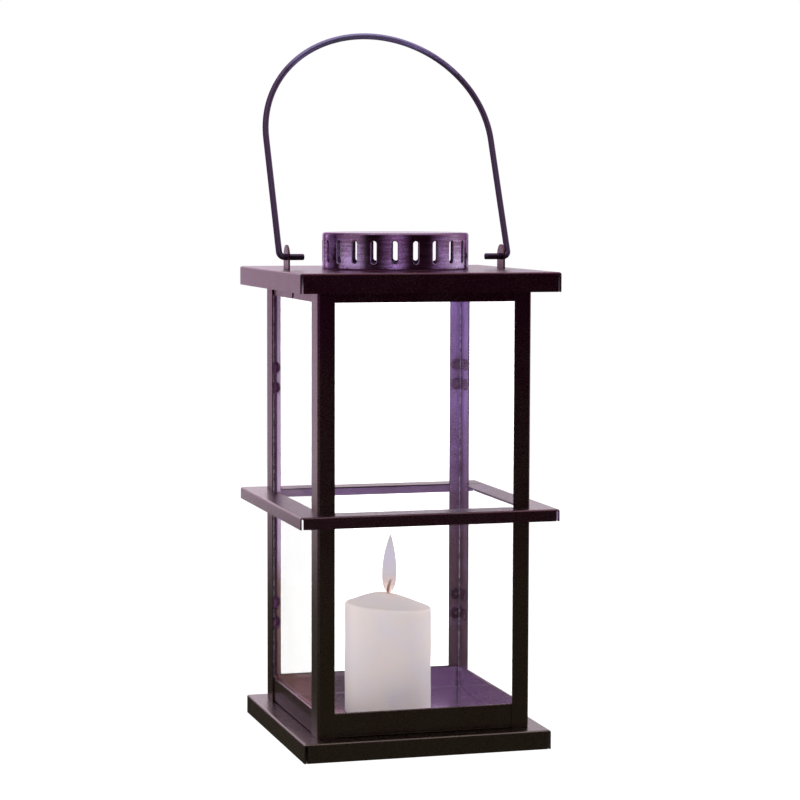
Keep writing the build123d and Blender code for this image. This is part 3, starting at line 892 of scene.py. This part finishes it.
open_board = remap(tree, reach, *TRAY_EDGE, (0.0, GLOW_SHARE))
shown = mix_shaders(tree, open_board, matt, white)
distance = add(tree, "ShaderNodeVectorMath", {0: place}, operation="LENGTH").outputs["Value"]
far = remap(tree, distance, DARK_R, TABLE_R)
near_tone = add(tree, "ShaderNodeEmission", {"Color": paint(DARK), "Strength": 1.0})
room_beyond = add(tree, "ShaderNodeBsdfTransparent")
mirrored = mix_shaders(tree, far, near_tone, room_beyond)
glanced = has_bounced(tree, ray, "Glossy")
bounced = has_bounced(tree, ray, "Diffuse")
seen = mix_shaders(tree, glanced, shown, mirrored)
show(tree, mix_shaders(tree, bounced, seen, matt))
board.cycles.emission_sampling = "NONE"
radii = np.r_[0.0, np.linspace(0.1, TABLE_R, 14)]
table = mesh_piece("table", around(radii[:, None], full_turn(TABLE_SIDES), TABLE_Z),
                   grid_faces(len(radii), TABLE_SIDES, closed=True), board)
join_up(table)
print("table: %.1f m across" % (2 * TABLE_R))

# %% The room that the lacquer mirrors
VIEW_YAW = radians(16.15)  # the studio camera's heading
MIRROR_GAIN, ROOM_THROUGH_GLASS, ROOM_TO_CAMERA = 1.25, (2.4, 2.4, 2.4, 1), (1, 1, 1, 1)
SOFT_LIGHT = (0.82, 0.81, 0.83, 1)
CEILING = (0.6, 0.85)  # how far up a ray has to point for the walls to turn into the ceiling
world = bpy.data.worlds.new("white_studio")
bpy.context.scene.world = world
world.use_nodes = True
tree = world.node_tree
tree.nodes.clear()
heading = add(tree, "ShaderNodeTexCoord").outputs["Generated"]
facing = add(tree, "ShaderNodeMapping",
             {"Vector": heading, "Rotation": (0, 0, VIEW_YAW + pi / 2)}).outputs[0]
bearing = add(tree, "ShaderNodeTexGradient", {"Vector": facing},
              gradient_type="RADIAL").outputs["Fac"]
black, dim = paint("#28131b"), paint("#6a5670")
soft, fabric, hot = paint("#94789a"), paint("#c9b6cc"), paint("#f0e8f2")
purple, glare = paint("#c8aad8"), (1.4, 1.2, 1.38, 1)
room = ramp(tree, bearing,
            [(0.0, hot), (0.03, glare), (0.076, glare), (0.081, dim), (0.099, dim),
             (0.104, glare), (0.118, glare), (0.135, soft), (0.185, dim), (0.215, soft),
             (0.26, fabric), (0.333, fabric), (0.37, black), (0.435, black), (0.47, soft),
             (0.492, purple), (0.514, purple), (0.536, soft), (0.56, black), (0.655, black),
             (0.70, soft), (0.755, fabric), (0.80, hot), (0.99, hot)])
ceiling = remap(tree, axes(tree, heading)["Z"], *CEILING)
mirrored = blend(tree, ceiling, room, hot)
mirrored = add(tree, "ShaderNodeVectorMath", {0: mirrored, "Scale": MIRROR_GAIN},
               operation="SCALE").outputs[0]
ray = add(tree, "ShaderNodeLightPath").outputs
glanced = has_bounced(tree, ray, "Glossy")
bounced = has_bounced(tree, ray, "Diffuse")
straight = blend(tree, ray["Is Camera Ray"], ROOM_THROUGH_GLASS, ROOM_TO_CAMERA)
seen = blend(tree, glanced, straight, mirrored)
seen = blend(tree, bounced, seen, SOFT_LIGHT)
back = add(tree, "ShaderNodeBackground", {"Color": seen, "Strength": 1.0})
add(tree, "ShaderNodeOutputWorld", {"Surface": back.outputs[0]})
world.cycles.sampling_method = "NONE"
print("room drawn round the horizon")

# %% Four soft panels and the candle's own light
AIM = Vector((0, 0, 0.16))  # the point that the panels face


def soft_panel(name, place, size, watts):
    """A square soft light that looks at the lantern; neither the camera nor mirrors see it."""
    lamp = bpy.data.lights.new(name, "AREA")
    lamp.shape, lamp.size, lamp.energy = "SQUARE", size, watts
    panel = bpy.data.objects.new(name, lamp)
    away = (Vector(place) - AIM).to_track_quat("Z", "Y")
    panel.matrix_world = Matrix.Translation(place) @ away.to_matrix().to_4x4()
    panel.visible_camera = panel.visible_glossy = panel.visible_transmission = False
    bpy.context.scene.collection.objects.link(panel)


soft_panel("overhead_left_panel", (-0.9, -0.9, 1.5), 1.3, 18)
soft_panel("front_panel", (-0.5, -1.9, 0.55), 1.0, 1.5)
soft_panel("right_panel", (1.5, -0.6, 0.9), 1.0, 20)
soft_panel("left_panel", (-1.6, -0.2, 0.5), 1.0, 9)
candle_light = bpy.data.lights.new("flame_light", "POINT")
candle_light.energy, candle_light.shadow_soft_size = 0.0045, 3 * MM
candle_light.color = paint("#ffb070")[:3]
flame_light = bpy.data.objects.new("flame_light", candle_light)
flame_light.visible_camera = flame_light.visible_transmission = False
flame_light.location = (CANDLE_X + FLAME_RIGHT, 0, CANDLE_TOP + 16 * MM)
bpy.context.scene.collection.objects.link(flame_light)
print("lamps set")

# %% [markdown]
# ## The camera
# A long lens from a little above the middle of the lantern and to its left: the front looks broad,
# the left side narrow.  The camera's axes are built from its heading, its tilt and its roll.

# %% Place the camera
camera = bpy.data.cameras.new("studio_camera")
camera.lens, camera.sensor_width = 111.6, 36
eye = Vector((-393.7, -1370.2, 310.7)) * MM
pitch, roll = radians(4.718), radians(0.174)
ahead = Vector((sin(VIEW_YAW) * cos(pitch), cos(VIEW_YAW) * cos(pitch), -sin(pitch)))
right = Vector((cos(VIEW_YAW), -sin(VIEW_YAW), 0))
up = right.cross(ahead)
right, up = cos(roll) * right + sin(roll) * up, cos(roll) * up - sin(roll) * right
viewer = bpy.data.objects.new("studio_camera", camera)
viewer.matrix_world = Matrix.Translation(eye) @ Matrix((right, up, -ahead)).transposed().to_4x4()
bpy.context.scene.collection.objects.link(viewer)
bpy.context.scene.camera = viewer
bpy.context.scene.view_settings.view_transform = "Standard"
print("camera at", [round(v / MM) for v in eye], "mm")
